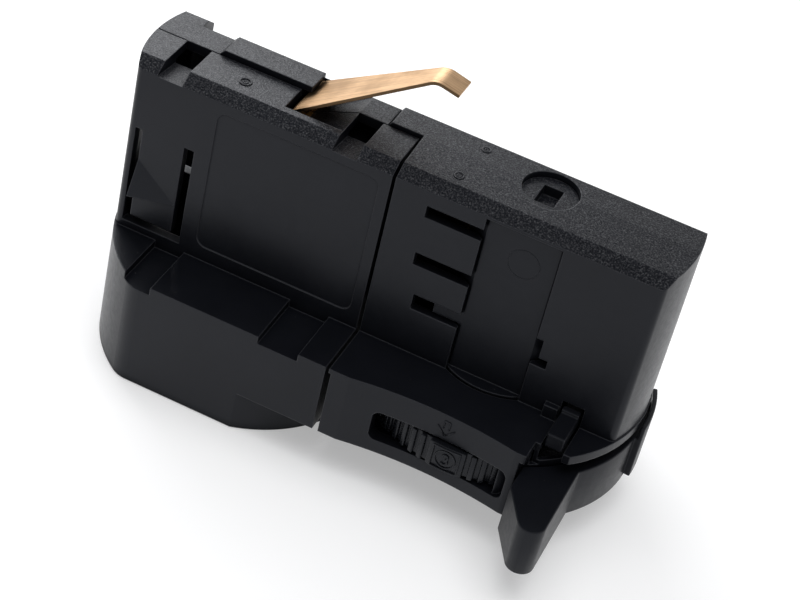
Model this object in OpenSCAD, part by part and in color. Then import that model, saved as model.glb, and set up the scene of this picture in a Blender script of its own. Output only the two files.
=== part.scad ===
// Track light adapter: a two-part moulded housing with a neck that enters the track,
// a turning lever with its contact rotor, a numbered thumbwheel, a sprung button and an earth strip.
// Millimetres, +Z up. The origin is on the ledge plane, on the mid-plane and at the middle seam.

/* [Housing] */
// Width of the lower housing, the same as the track's width
housing_w = 36; // [34:0.5:38]
// Distance of each rounded end's arc centre from the middle seam
arc_x = 18.7; // [17:0.1:20]
// Radius of the lower housing's rounded ends
end_r = 21.2; // [20:0.1:22]
// Radius of the soft upright edges where the ends meet the sides
edge_r = 4; // [2:0.5:6]
// Depth of the lower housing under the ledge
housing_depth = 11.2; // [10:0.1:13]
// How far the round foot hangs below the lower housing
foot_drop = 6.2; // [4:0.1:8]
// Radius of the round foot on its inner side
foot_r = 19.2; // [18:0.1:20]
// Thickness of the moulded walls
wall = 1.4; // [1:0.1:2]
// Thickness of the right half's lower side walls, which carry the thumb hollow
side_wall = 2.8; // [2.4:0.1:3.4]
// Thickness of the ledge plate
ledge_t = 1.4; // [1:0.1:2]
// Thickness of the moulded floors
floor_t = 1.6; // [1.2:0.1:2.4]
// Open seam between the left and the right half
seam_gap = 0.5; // [0.4:0.1:1]
// Parting gap between the front and the rear shells
split_gap = 0.2; // [0.05:0.05:0.3]

/* [Neck] */
// Width of the neck that enters the track
neck_w = 16.5; // [15:0.1:18]
// How far the neck's rounded ends lie inside the housing's ends
neck_inset = 0.2; // [0.1:0.1:2]
// Height of the left half's flat top
neck_h = 27.65; // [25:0.05:30]
// How far the right half's ridge stands over the left half's top
right_rise = 0.6; // [0.3:0.05:1.2]
// How far the raised block stands over the left half's top
block_rise = 0.85; // [0.5:0.05:1.5]
// Width of the sloped band along the front top edge
band_w = 1.95; // [1:0.05:3]
// Drop of the sloped band along the front top edge
band_drop = 1.35; // [0.8:0.05:2]
// Distance of the flat top's rear edge from the mid-plane
rear_flat = 4.5; // [3.5:0.1:6]
// Drop of the steep band along the rear top edge
rear_drop = 3.35; // [2:0.05:4]

/* [Latch] */
// Distance of the latch tongue from the left end
latch_in = 3.9; // [3:0.1:6]
// Width of the latch tongue
latch_w = 6.4; // [5:0.1:9]
// Width of the slot on the tongue's left side
latch_slot = 1.1; // [0.6:0.1:1.3]
// Width of the slot on the tongue's right side
latch_slot_right = 1.5; // [0.6:0.1:2]
// Height where the tongue leaves the wall
latch_top = 17; // [14:0.1:20]
// Height of the tongue's free end
latch_end = 2.5; // [1.5:0.1:4]
// Height of the hook's edge
latch_hook_z = 7; // [5:0.1:9]
// How far the hook's left end stands out of the neck
latch_hook = 2.2; // [0.8:0.1:3]

/* [Contact window] */
// Half width of the window in front of the rotor
window_half = 5.4; // [4:0.1:6]
// Distance of the window's top under the left half's top
window_drop = 1.75; // [1.5:0.05:3]
// Reach of the two upper slots from the rotor's axis
slot_reach = 13.5; // [11:0.1:15]
// Reach of the lowest slot from the rotor's axis
low_slot_reach = 12.3; // [11:0.1:15]
// Lower edge of the top slot
slot1_z = 22.2; // [20:0.1:24]
// Height of the top slot
slot1_h = 1.85; // [1.5:0.05:2.5]
// Lower edge of the middle slot
slot2_z = 14.3; // [13:0.1:16]
// Height of the middle slot
slot2_h = 2; // [1.5:0.05:2.5]
// Lower edge of the lowest slot
slot3_z = 7.2; // [6:0.1:9]
// Height of the lowest slot
slot3_h = 2.45; // [1.5:0.05:3]

/* [Rotor] */
// Radius of the rotor's round sides
rotor_r = 9; // [8:0.1:9.5]
// How far the rotor's flat faces lie behind the neck's sides
rotor_behind = 0.85; // [0.5:0.05:1.5]
// Radius of the rotor's top journal
journal_r = 3.9; // [3:0.05:5]
// Reach of the contact arms from the axis
arm_reach = 9.4; // [8:0.1:10]
// Thickness of the contact arms
arm_t = 2.2; // [1.5:0.1:3]
// Thickness of the copper contact blades
blade_t = 0.6; // [0.4:0.05:1]
// Length of the copper contact blades
blade_len = 3.5; // [2:0.1:5]
// Running clearance of the journals, on the radius
run_fit = 0.05; // [0.02:0.01:0.1]
// Clearance between pieces that move past each other
clear = 0.35; // [0.3:0.05:0.6]

/* [Thumbwheel] */
// How far the wheel's edge lies inside the housing's side
wheel_inset = 0.35; // [0.3:0.05:1.5]
// Height of the wheel's lower face over the housing's bottom
wheel_lift = 2.4; // [2.2:0.1:3]
// Height of the thumbwheel's rim
wheel_h = 4.2; // [3:0.1:4.6]
// Angle between the ribs of the thumbwheel
rib_step = 5; // [4:0.5:9]
// Angle between the number plates
plate_step = 40; // [30:5:60]
// Depth of the grooves between the ribs
rib_depth = 0.5; // [0.3:0.05:0.8]

/* [Lever] */
// Gap between the ledge plate and the lever's rim
lever_gap = 2; // [1.5:0.1:2.5]
// Thickness of the lever's base plate
base_t = 1.5; // [1.2:0.1:2]
// Radius of the lever's hub post
post_r = 4; // [3:0.1:5]
// How far the wing's tip stands out of the housing's side
wing_out = 9.15; // [6:0.05:12]
// Radius of the rounded tip of the wing
wing_tip_r = 2; // [1.5:0.1:3]

/* [Earth strip] */
// Thickness of the earth strip
strip_t = 0.5; // [0.3:0.05:0.8]
// Width of the earth strip at its root
strip_root_w = 8.4; // [6:0.1:8.4]
// Width of the earth strip at its bent end
strip_tip_w = 4.2; // [3:0.1:6]
// Height of the strip's bend over the left half's top
strip_rise = 10.55; // [8:0.05:12]
// Place of the strip's bend along the adapter
strip_peak_x = 0.7; // [-2:0.1:3]

/* [Hidden] */
$fn = 96;
big = 60;
eps = 0.05;
fit = 0.1;
// heights and half widths that follow from the values above
neck_half = neck_w / 2;
neck_in = neck_half - wall;
neck_end_r = end_r - neck_inset;
neck_side_h = neck_h - band_drop;
neck_rear_h = neck_h - rear_drop;
roof_z = neck_h - wall;
right_top_h = neck_h + right_rise;
raised_h = neck_h + block_rise;
half_w = housing_w / 2;
foot_depth = housing_depth + foot_drop;
bottom = -housing_depth;
left_end = -arc_x - end_r;
end_wall = 1.2;
seam_half = seam_gap / 2;
seam_relief = 0.35;
// plane between the right half's shells, just behind the flat top
right_split = rear_flat + 0.1;
// spigot of the right half that enters the left half
spig_y = 4.3;
spig_z0 = 3.2;
spig_z1 = 19.8;
spig_t = 1.2;
spig_len = 3.6;
spig_room = 2;
// two pockets in the left half's front top edge, with sills that slope inwards
cap_x = -35.1;
ramp_x1 = -9.1;
pocket_at = [[cap_x, -31.3], [ramp_x1, -5.5]];
sill_y = 2.9;
sill_drop = 0.7;
sill_z = neck_side_h - sill_drop;
// opening over the earth strip, with a ramp that leads up to the flat top
open_x0 = -17.7;
open_half = 5.2;
open_rear = rear_flat + 0.05;
ramp_x0 = -15.3;
ramp_z = neck_h - 2.55;
// raised block on the left rear shell
block_x0 = -30.3;
block_x1 = -16.3;
block_y = 4.3;
block_ramp = 0.8;
// tab of the right half's top that laps over the left half
tab_x0 = -4.8;
tab_ramp = 0.4;
// channel under the latch and notch, both across the left ledge
left_ledge_t = 1.7 * ledge_t;
channel_x0 = -31.6;
channel_x1 = -27.1;
channel_d = 1.2;
notch_x0 = -10.45;
notch_x1 = -4.45;
notch_d = 1.2;
// sunk panel on the left neck side
panel_x0 = -25.6;
panel_x1 = -1.8;
panel_z0 = 2.3;
panel_top_gap = 2.85;
panel_r = 1.5;
panel_d = 0.15;
// latch tongue
latch_x0 = left_end + latch_in;
latch_x1 = latch_x0 + latch_w;
latch_under = 1.3;
hook_h = 5.1;
hook_slope = atan2(hook_h, latch_w);
hook_deep = 2 * hook_h * cos(hook_slope);
// self-tapping screws of the shells: places along X and distances under the top
screw_at = [[-25, 8.65], [-9.2, 6.65], [3, 8.65], [33.6, 13.65]];
boss_r = 2.4;
pilot_r = 1.05;
pilot_len = 6;
shank_r = 1;
shank_end = 5.6;
head_r = 1.9;
head_h = 1.4;
head_room_r = 2.05;
head_room_d = 1.6;
cross_w = 0.5;
cross_len = 2.6;
// terminal block on two shelves in the left half
term_mid_x = -17;
term_pitch = 6;
term_z = 6;
block_len = 18.4;
block_w = 11.2;
block_h = 9;
shelf_t = 1.5;
shelf_y = 2.5;
clamp_l = 4;
clamp_w = 4.2;
clamp_h = 4.7;
clamp_up = 1.5;
clamp_z = term_z + clamp_up;
wire_r = 1.2;
wire_up = 3;
wire_z = term_z + wire_up;
term_shank_r = 1.1;
term_head_r = 1.6;
term_shank_up = 4.4;
term_shank_z = term_z + term_shank_up;
term_head_up = 6.4;
term_head_z = term_z + term_head_up;
term_slot_len = 4;
term_head_h = 1.8;
// current strips from the terminal block to the rotor
lead_x0 = -13;
lead_y = 2.5;
lead_drop = 11.65;
lead_w = 4;
lead_z1 = neck_h - lead_drop;
lead_z0 = lead_z1 - lead_w;
lead_gap = 0.6;
// thread bush under the left half
bush_r = 6.5;
bush_bore_r = 4.6;
bush_flange_h = 2.8;
bush_flange_r = 9.5;
bush_len = 7.8;
// earth strip, given by the line through its tail, its two bends and its tip, and its terminal
strip_x = -17;
strip_tail_z = neck_h - 6.2;
strip_bend_z = neck_h - 1.1;
strip_peak_z = neck_h + strip_rise;
strip_tip_x = 4.1;
strip_tip_z = strip_peak_z - 0.8;
strip_line = [[strip_x, strip_tail_z], [strip_x, strip_bend_z], [strip_peak_x, strip_peak_z],
    [strip_tip_x, strip_tip_z]];
strip_taper = 1.5;
strip_soft = 0.1;
earth_len = 4.4;
earth_half = 3;
earth_h = 3.6;
earth_bore_r = 1;
// rotor
rotor_flat = neck_half - rotor_behind;
rotor_room_r = rotor_r + clear;
rotor_foot_r = rotor_r + 0.4;
rotor_foot_t = 0.4;
rotor_low = -0.2;
window_top = neck_h - window_drop;
drum_top = neck_h - 4.75;
face_a0 = -140;
face_a1 = -40;
lock_turn = 52;
face_in_r = 6;
journal_low = 20;
journal_sink = 0.3;
pointer_w = 2.8;
pointer_d = 1.5;
pointer_y0 = -2.4;
pointer_y1 = 1.8;
arm_low = 0.3;
arm_high = 0.25;
arm_root = 2;
blade_back = 0.5;
// hollow beside the window's right side
jog_z0 = 6.8;
jog_z1 = 11.2;
jog_w = 1;
hole_w = 2.3;
hole_h = 1.4;
window_back = 2;
// thumbwheel, its window and the hollow in front of it
wheel_r = half_w - wheel_inset;
wheel_z = bottom + wheel_lift;
wheel_top = wheel_z + wheel_h;
wheel_room_r = wheel_r + clear;
wheel_web = 1.2;
wheel_rim = 2.6;
wheel_hub = 2.5;
groove_w = 0.76;
plate_half = 7;
plate_a = -90;
view_x0 = 7.4;
view_x1 = 27.4;
rear_view_x0 = 9;
rear_view_x1 = 22;
view_r = 1.1;
view_low = clear;
view_high = 0.4;
view_in = 8;
view_out = 12;
hollow_x = 15.5;
hollow_d = 1.2;
hollow_half = 12.2;
// lever
lever_top = -ledge_t - lever_gap;
skirt_t = 0.65;
skirt_z = bottom + 1.9;
skirt_r = wheel_room_r + skirt_t;
rim_in_r = skirt_r + 0.4;
base_r = wheel_r - 2.25;
front_stop_x = 28.5;
rear_stop_x = 23;
skirt_front_x = 26;
skirt_rear_x = 22.5;
rim_a0 = -55;
base_a0 = -50;
rim_a1 = 20;
rib_a0 = -4;
rib_out = 1;
rib_in = 0.4;
rib_top = -1.2;
screw_hole_r = 1.6;
screw_room_r = 3.3;
screw_room_h = 2.6;
post_top = 0.3;
wing_right = 35.7;
wing_tip = [wing_right - wing_tip_r, wing_tip_r - half_w - wing_out];
wing_left = front_stop_x + clear;
wing_root_y = 5 - half_w;
wing_knee = [wing_left, -2.8 - half_w];
// screw and washer that hold the lever to the rotor
hold_r = 1.5;
hold_top = 8.5;
hold_pilot_r = 1.55;
hold_room = 1;
hold_head_r = 2.9;
hold_head_h = 1.8;
hold_sink = 0.2;
hold_slot = 0.8;
hold_slot_len = 4;
washer_t = 0.5;
washer_r = 3.2;
// sprung button on the right ledge, its cut-out and the stop block beside it
btn_x0 = 30.3;
btn_x1 = 32.8;
btn_front = 3.8;
btn_y1 = -4.5;
btn_z0 = -0.3;
btn_h = 2.3;
btn_travel = 2;
btn_over = 1.2;
btn_y0 = btn_front - half_w;
ridge_w = 1;
ridge_h = 0.5;
ridge_out = 0.9;
cut_x0 = 29.2;
cut_x1 = 34.2;
stop_x0 = 27.8;
stop_x1 = 29.8;
stop_h = 2;

// box given by its low and high corners
module box(a, b) {
    translate(a) cube(b - a);
}

// upright cylinder between two heights
module post(x, y, r, z0, z1) {
    translate([x, y, z0]) cylinder(r = r, h = z1 - z0);
}

// cylinder along Y between two places
module cross_post(x, z, r, y0, y1) {
    translate([x, y1, z]) rotate([90, 0, 0]) cylinder(r = r, h = y1 - y0);
}

// piece outside the fillet of one plan corner; sx and sy give the corner's side
module corner_cut(w, r, f, sx, sy) {
    cy = w / 2 - f;
    cx = arc_x + sqrt(pow(r - f, 2) - cy * cy);
    ux = (cx - arc_x) / (r - f);
    uy = cy / (r - f);
    kx = arc_x + sqrt(r * r - w * w / 4);
    difference() {
        polygon([[sx * cx, sy * cy], [sx * cx, sy * (cy + f + 1)], [sx * (kx + 1), sy * (w / 2 + 1)],
            [sx * (cx + ux * (f + 1)), sy * (cy + uy * (f + 1))]]);
        translate([sx * cx, sy * cy]) circle(f);
    }
}

// plan outline with two rounded ends and soft corners
module plan(w, r, f) {
    difference() {
        intersection() {
            square([2 * big, w], center = true);
            union() {
                translate([-arc_x, 0]) circle(r);
                translate([arc_x, 0]) circle(r);
                square([2 * arc_x, w], center = true);
            }
        }
        for (sx = [-1, 1]) {
            for (sy = [-1, 1]) {
                corner_cut(w, r, f, sx, sy);
            }
        }
    }
}

module plan_block(w, r, f, z0, z1) {
    translate([0, 0, z0]) linear_extrude(z1 - z0) plan(w, r, f);
}

// section in Y and Z drawn out along X
module along_x(x0, x1, points) {
    translate([x0, 0, 0]) rotate([90, 0, 90]) linear_extrude(x1 - x0) polygon(points);
}

// section in X and Z drawn out along Y
module along_y(y0, y1, points) {
    translate([0, y1, 0]) rotate([90, 0, 0]) linear_extrude(y1 - y0) polygon(points);
}

// rectangle with rounded corners, standing in the plane of X and Z
module upright_panel(x0, x1, z0, z1, r, y0, y1) {
    translate([0, y1, 0]) rotate([90, 0, 0]) linear_extrude(y1 - y0) union() {
        translate([x0 + r, z0]) square([x1 - x0 - 2 * r, z1 - z0]);
        translate([x0, z0 + r]) square([x1 - x0, z1 - z0 - 2 * r]);
        for (x = [x0 + r, x1 - r]) {
            for (z = [z0 + r, z1 - r]) {
                translate([x, z]) circle(r);
            }
        }
    }
}

// wedge about the rotor axis between two angles
module wedge(a0, a1, z0, z1) {
    am = (a0 + a1) / 2;
    far = 1.6 * big;
    translate([arc_x, 0, z0]) linear_extrude(z1 - z0)
        polygon([[0, 0], [big * cos(a0), big * sin(a0)], [far * cos(am), far * sin(am)],
            [big * cos(a1), big * sin(a1)]]);
}

// round ring about the rotor axis
module ring(r0, r1, z0, z1) {
    difference() {
        post(arc_x, 0, r1, z0, z1);
        post(arc_x, 0, r0, z0 - eps, z1 + eps);
    }
}

// turns its children half round the rotor axis
module half_turn() {
    translate([2 * arc_x, 0, 0]) rotate([0, 0, 180]) children();
}

module keep_left_front() {
    intersection() {
        children();
        box([-big, -big, -big], [-seam_half, -split_gap / 2, big]);
    }
}

module keep_left_rear() {
    intersection() {
        children();
        box([-big, split_gap / 2, -big], [-seam_half, big, big]);
    }
}

module keep_right_front() {
    intersection() {
        children();
        box([-big, -big, -big], [big, right_split - split_gap / 2, big]);
    }
}

module keep_right_rear() {
    intersection() {
        children();
        box([-big, right_split + split_gap / 2, -big], [big, big, big]);
    }
}

// plan of the round foot: the full end on the left, a circle towards the seam
module foot_plan(inset) {
    intersection() {
        plan(housing_w - 2 * inset, end_r - inset, edge_r - inset);
        union() {
            translate([-arc_x, 0]) circle(foot_r - inset);
            translate([-big, -big]) square([big - arc_x, 2 * big]);
        }
    }
}

// neck between two places along X, with the given rear edge of its flat top and its ridge
module neck(x0, x1, flat_y, ridge_z, rear_z) {
    intersection() {
        plan_block(neck_w, neck_end_r, edge_r / 4, -eps, big);
        along_x(x0, x1, [[-neck_half, -1], [-neck_half, neck_side_h], [band_w - neck_half, neck_h],
            [0, ridge_z], [flat_y, ridge_z], [neck_half, rear_z], [neck_half, -1]]);
    }
}

// hollow of the neck between two places along X
module neck_room(x0, x1) {
    back = 0.55;
    intersection() {
        plan_block(2 * neck_in, neck_end_r - wall, edge_r / 8, -left_ledge_t - eps, big);
        along_x(x0, x1, [[-neck_in, -big], [-neck_in, neck_side_h - back], [band_w - neck_half, roof_z],
            [rear_flat - back, roof_z], [neck_in, neck_rear_h - back], [neck_in, -big]]);
    }
}

// outside of the left half
module left_body() {
    neck(-big, cap_x, neck_half - band_w, neck_h, neck_side_h);
    neck(cap_x - eps, 0, rear_flat, neck_h, neck_rear_h);
    intersection() {
        plan_block(housing_w, end_r, edge_r, bottom, 0);
        box([-big, -big, -big], [0, big, big]);
    }
    translate([0, 0, -foot_depth]) linear_extrude(foot_drop + eps) foot_plan(0);
}

// inside of the left half
module left_room() {
    neck_room(-big, -seam_half - end_wall);
    intersection() {
        union() {
            plan_block(housing_w - 2 * wall, end_r - wall, edge_r - wall, floor_t + bottom, -left_ledge_t);
            translate([0, 0, floor_t - foot_depth]) linear_extrude(foot_drop + eps) foot_plan(wall);
        }
        box([-big, -big, -big], [-seam_half - end_wall, big, big]);
    }
    // passage for the right half's spigot
    box([-seam_half - spig_len - spig_room, -spig_y - fit, spig_z0 - fit],
        [1, spig_y + fit, spig_z1 + fit]);
    // hole of the thread bush
    post(-arc_x, 0, bush_r + fit, -foot_depth - 1, floor_t - foot_depth + 1);
}

// plate under the ramp, before the opening is cut
module strip_ramp() {
    intersection() {
        neck(cap_x, 0, rear_flat, neck_h, neck_rear_h);
        along_y(-neck_half, neck_half, [[ramp_x0, ramp_z - wall], [ramp_x1, neck_h - wall - eps],
            [ramp_x1, neck_h - eps], [ramp_x0, neck_h - eps]]);
    }
}

// opening over the earth strip: slot for its tail and the space over the ramp
module strip_opening() {
    along_y(-open_half, open_rear, [[open_x0, ramp_z - wall - 1], [ramp_x0, ramp_z - wall - 1],
        [ramp_x0, ramp_z], [ramp_x1, neck_h], [ramp_x1, big], [open_x0, big]]);
}

// plates under the sloped sills, before the pockets are cut
module pocket_sills() {
    for (p = pocket_at) {
        along_x(p[0] - wall, p[1] + wall, [[eps - neck_half, neck_side_h - 2 * wall],
            [-sill_y, sill_z - wall], [-sill_y, roof_z + eps], [eps - neck_half, neck_side_h - eps]]);
    }
}

// pockets in the front top edge: each has a sill that slopes inwards to a deep hole
module front_pockets() {
    for (p = pocket_at) {
        along_x(p[0], p[1], [[-neck_half - 1, neck_side_h], [-sill_y, sill_z], [-sill_y, sill_z - 2 * wall],
            [0, sill_z - 2 * wall], [0, big], [-neck_half - 1, big]]);
    }
}

// cuts on both sides of the left half, drawn for the front side
module left_side_cuts() {
    // channel in the ledge under the latch
    box([channel_x0, -half_w - 1, -channel_d], [channel_x1, -neck_half, 1]);
    // notch across the ledge
    box([notch_x0, -half_w - 1, -notch_d], [notch_x1, -neck_half, 1]);
    // slots beside and under the latch tongue
    box([latch_x0 - latch_slot, -neck_half - 1, latch_end - latch_under], [latch_x0, 1 - neck_in, latch_top]);
    box([latch_x1, -neck_half - 1, latch_end - latch_under],
        [latch_x1 + latch_slot_right, 1 - neck_in, latch_top]);
    box([latch_x0 - eps, -neck_half - 1, latch_end - latch_under], [latch_x1 + eps, 1 - neck_in, latch_end]);
}

// hook on the outside of the latch tongue; its slanted face stands out at the lower left corner alone
module latch_hook_ridge() {
    intersection() {
        box([latch_x0, -neck_half - 2 * latch_hook, latch_hook_z], [latch_x1, eps - neck_half, latch_top]);
        translate([latch_x0, 0, latch_hook_z + hook_h]) rotate([0, hook_slope, 0])
        along_x(-2 * latch_w, 2 * latch_w, [[eps - neck_half, 0], [-neck_half, 0],
            [-neck_half - 2 * latch_hook, -hook_deep], [eps - neck_half, -hook_deep]]);
    }
}

// shelf that carries the terminal block
module left_shelf() {
    box([term_mid_x - block_len / 2, -neck_in - eps, term_z - fit - shelf_t],
        [term_mid_x + block_len / 2, -shelf_y, term_z - fit]);
}

// bosses of the shell screws, across the neck
module bosses(i0, i1) {
    for (i = [i0 : i1]) {
        cross_post(screw_at[i][0], neck_h - screw_at[i][1], boss_r, -neck_in - eps, neck_in + eps);
    }
}

// holes of the shell screws: pilot in front of the parting plane, head room in the rear wall
module screw_holes(i0, i1, split_y) {
    for (i = [i0 : i1]) {
        x = screw_at[i][0];
        z = neck_h - screw_at[i][1];
        cross_post(x, z, pilot_r, -pilot_len, split_y + eps);
        cross_post(x, z, pilot_r + run_fit, split_y, big);
        cross_post(x, z, head_room_r, neck_half - head_room_d, big);
    }
}

// the left half before it is parted into its two shells
module left_half() {
    difference() {
        union() {
            difference() {
                union() {
                    difference() {
                        left_body();
                        left_room();
                    }
                    strip_ramp();
                    pocket_sills();
                }
                strip_opening();
                front_pockets();
                left_side_cuts();
                mirror([0, 1, 0]) left_side_cuts();
                // rounded panel, sunk by a hair into the neck's front side
                upright_panel(panel_x0, panel_x1, panel_z0, neck_h - panel_top_gap, panel_r,
                    -neck_half - 1, panel_d - neck_half);
                // room of the right half's tab
                box([tab_x0 - fit, 0, roof_z - fit], [1, rear_flat + fit, big]);
            }
            latch_hook_ridge();
            mirror([0, 1, 0]) latch_hook_ridge();
            left_shelf();
            mirror([0, 1, 0]) left_shelf();
            bosses(0, 1);
            // raised block beside the earth strip
            along_y(0, block_y, [[block_x0, neck_h - eps], [block_x0 + block_ramp, raised_h],
                [block_x1, raised_h], [block_x1, neck_h - eps]]);
        }
        screw_holes(0, 1, 0);
    }
}

module left_front_shell() {
    color([0.06, 0.06, 0.07]) keep_left_front() left_half();
}

module left_rear_shell() {
    color([0.06, 0.06, 0.07]) keep_left_rear() left_half();
}

// outside of the right half with its spigot and the tab of its top
module right_body() {
    along_y(split_gap / 2, rear_flat, [[tab_x0, roof_z], [tab_x0, neck_h], [tab_x0 + tab_ramp, right_top_h],
        [seam_half + eps, right_top_h], [seam_half + eps, roof_z]]);
    neck(seam_half, big, rear_flat, right_top_h, neck_rear_h);
    intersection() {
        plan_block(housing_w, end_r, edge_r, bottom, 0);
        box([seam_half, -big, -big], [big, big, big]);
    }
    box([-seam_half - spig_len, -spig_y, spig_z0], [seam_half + end_wall, spig_y, spig_z1]);
}

// inside of the right half
module right_room() {
    neck_room(seam_half + end_wall, big);
    intersection() {
        plan_block(housing_w - 2 * side_wall, end_r - wall, edge_r / 4, floor_t + bottom, -ledge_t);
        box([seam_half + end_wall, -big, -big], [big, big, big]);
    }
    // passage through the spigot
    box([-seam_half - spig_len - 1, spig_t - spig_y, spig_z0 + spig_t],
        [seam_half + spig_room, spig_y - spig_t, spig_z1 - spig_t]);
    // room of the rotor: drum, foot disc, tall front face over its turn, top journal
    post(arc_x, 0, rotor_room_r, -eps, drum_top + clear);
    post(arc_x, 0, rotor_foot_r + clear, rotor_low - clear, rotor_low + rotor_foot_t + clear);
    intersection() {
        post(arc_x, 0, rotor_room_r, drum_top, window_top);
        wedge(face_a0 - 5, face_a1 + lock_turn + 5, drum_top - 1, big);
    }
    post(arc_x, 0, journal_r + run_fit, roof_z - 1, big);
    // room of the thumbwheel and opening of the lever's base plate
    post(arc_x, 0, wheel_room_r, wheel_z - clear, wheel_top + clear);
    post(arc_x, 0, base_r + clear, bottom - 1, floor_t + bottom + 1);
    // zone of the lever
    box([front_stop_x, -big, -big], [big, 0, -ledge_t]);
    box([rear_stop_x, -eps, -big], [big, big, -ledge_t]);
}

// window of the thumbwheel, drawn for the front side
module wheel_window(x0, x1) {
    upright_panel(x0, x1, wheel_z - view_low, wheel_top + view_high, view_r, -view_in - view_out, -view_in);
}

// shallow hollow in the housing's side, in front of the thumbwheel
module thumb_hollow() {
    r = (hollow_half * hollow_half + hollow_d * hollow_d) / (2 * hollow_d);
    post(hollow_x, hollow_d - half_w - r, r, bottom - 1, 1);
}

// opening of the sprung button in the ledge, the skirt and the neck's foot
module button_room() {
    box([btn_x0 - clear, btn_y0 - clear, btn_z0 - btn_travel - clear],
        [btn_x1 + clear, eps - neck_in, btn_z0 + btn_h + btn_over]);
    box([cut_x0, -half_w - 1, lever_top], [cut_x1, btn_y0 - clear + eps, 1]);
}

// thin wall inside the lever's rim
module skirt() {
    ring(wheel_room_r, skirt_r, skirt_z, eps - ledge_t);
}

// front window of the rotor with its three slots, and a jog and a small hole in its right side
module front_window() {
    box([arc_x - window_half, -big, 0], [arc_x + window_half, -window_back, window_top]);
    box([arc_x - slot_reach, -big, slot1_z], [arc_x, -window_back, slot1_z + slot1_h]);
    box([arc_x - slot_reach, -big, slot2_z], [arc_x, -window_back, slot2_z + slot2_h]);
    box([arc_x - low_slot_reach, -big, slot3_z], [arc_x, -window_back, slot3_z + slot3_h]);
    box([arc_x, -big, jog_z0], [arc_x + window_half + jog_w, -window_back, jog_z1]);
    box([arc_x, -big, jog_z0], [arc_x + window_half + hole_w, -window_back, jog_z0 + hole_h]);
}

// rear window of the rotor and the neutral arm's slot
module rear_window() {
    box([arc_x - window_half, window_back, 0], [arc_x + window_half, big, drum_top + clear]);
    box([arc_x, window_back, slot3_z], [arc_x + low_slot_reach, big, slot3_z + slot3_h]);
}

// the right half before it is parted into its two shells
module right_half() {
    difference() {
        union() {
            difference() {
                right_body();
                right_room();
                thumb_hollow();
                mirror([0, 1, 0]) thumb_hollow();
                wheel_window(view_x0, view_x1);
                mirror([0, 1, 0]) wheel_window(rear_view_x0, rear_view_x1);
                front_window();
                rear_window();
                // wider seam under the ledge
                box([-1, -big, bottom - 1], [seam_half + seam_relief, big, -ledge_t / 2]);
            }
            intersection() {
                skirt();
                union() {
                    box([skirt_front_x, -big, -big], [big, eps, big]);
                    box([skirt_rear_x, 0, -big], [big, half_w, big]);
                }
            }
            // stop block beside the button
            box([stop_x0, -neck_half - ridge_out, -eps], [stop_x1, eps - neck_half, stop_h]);
            bosses(2, 3);
        }
        button_room();
        screw_holes(2, 3, right_split);
    }
}

module right_front_shell() {
    color([0.06, 0.06, 0.07]) keep_right_front() right_half();
}

module right_rear_shell() {
    color([0.06, 0.06, 0.07]) keep_right_rear() right_half();
}

module shell_screws() {
    head_y = neck_half - fit;
    color([0.6, 0.6, 0.62])
    for (p = screw_at) {
        z = neck_h - p[1];
        cross_post(p[0], z, shank_r, -shank_end, head_y - fit);
        difference() {
            cross_post(p[0], z, head_r, head_y - head_h, head_y);
            translate([p[0], neck_half, z]) cube([cross_len, 1, cross_w], center = true);
            translate([p[0], neck_half, z]) cube([cross_w, 1, cross_len], center = true);
        }
    }
}

// metal bush for the lamp's threaded stem, with a hexagon flange on the foot's floor
module thread_bush() {
    low = fit - foot_depth;
    color([0.75, 0.6, 0.3])
    difference() {
        union() {
            post(-arc_x, 0, bush_r, low, low + bush_len);
            translate([-arc_x, 0, floor_t - foot_depth + eps])
                cylinder(r = bush_flange_r, h = bush_flange_h, $fn = 6);
        }
        post(-arc_x, 0, bush_bore_r, low - 1, low + bush_len + 1);
    }
}

// places its children at the three terminals
module at_terminals() {
    for (i = [-1 : 1]) {
        translate([term_mid_x + i * term_pitch, 0, 0]) children();
    }
}

// upright current strip, grown by the given clearance
module lead(y, x1, grow) {
    box([lead_x0 - 2 * grow, y - strip_t / 2 - grow, lead_z0 - grow],
        [x1, y + strip_t / 2 + grow, lead_z1 + big * grow]);
}

module terminal_block() {
    x1 = term_mid_x + block_len / 2;
    color([0.85, 0.84, 0.8])
    difference() {
        box([term_mid_x - block_len / 2, -block_w / 2, term_z], [x1, block_w / 2, term_z + block_h]);
        // chamber of the clamp, wire hole and the screw's well
        at_terminals() {
            box([-clamp_l / 2 - fit, -clamp_w / 2 - fit, clamp_z - fit],
                [clamp_l / 2 + fit, clamp_w / 2 + fit, clamp_z + clamp_h + fit]);
            cross_post(0, wire_z, wire_r + fit, -block_w, block_w);
            post(0, 0, term_head_r + fit, term_head_z - 1, term_z + block_h + 1);
        }
        lead(-lead_y, x1 + 1, fit);
        lead(lead_y, x1 + 1, fit);
    }
}

module terminal_clamps() {
    color([0.78, 0.62, 0.3])
    at_terminals() difference() {
        box([-clamp_l / 2, -clamp_w / 2, clamp_z], [clamp_l / 2, clamp_w / 2, clamp_z + clamp_h]);
        cross_post(0, wire_z, wire_r, -block_w, block_w);
        post(0, 0, term_shank_r + fit, wire_z, term_head_z + 1);
    }
}

module terminal_screws() {
    top = term_head_z + term_head_h;
    color([0.62, 0.62, 0.64])
    at_terminals() difference() {
        union() {
            post(0, 0, term_shank_r, term_shank_z, term_head_z + eps);
            post(0, 0, term_head_r, term_head_z, top);
        }
        translate([0, 0, top]) cube([term_slot_len, cross_w, 1], center = true);
    }
}

module phase_strip() {
    color([0.75, 0.45, 0.25]) lead(-lead_y, arc_x - rotor_r - lead_gap, 0);
}

module neutral_strip() {
    color([0.75, 0.45, 0.25]) lead(lead_y, arc_x - rotor_r - lead_gap, 0);
}

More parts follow.
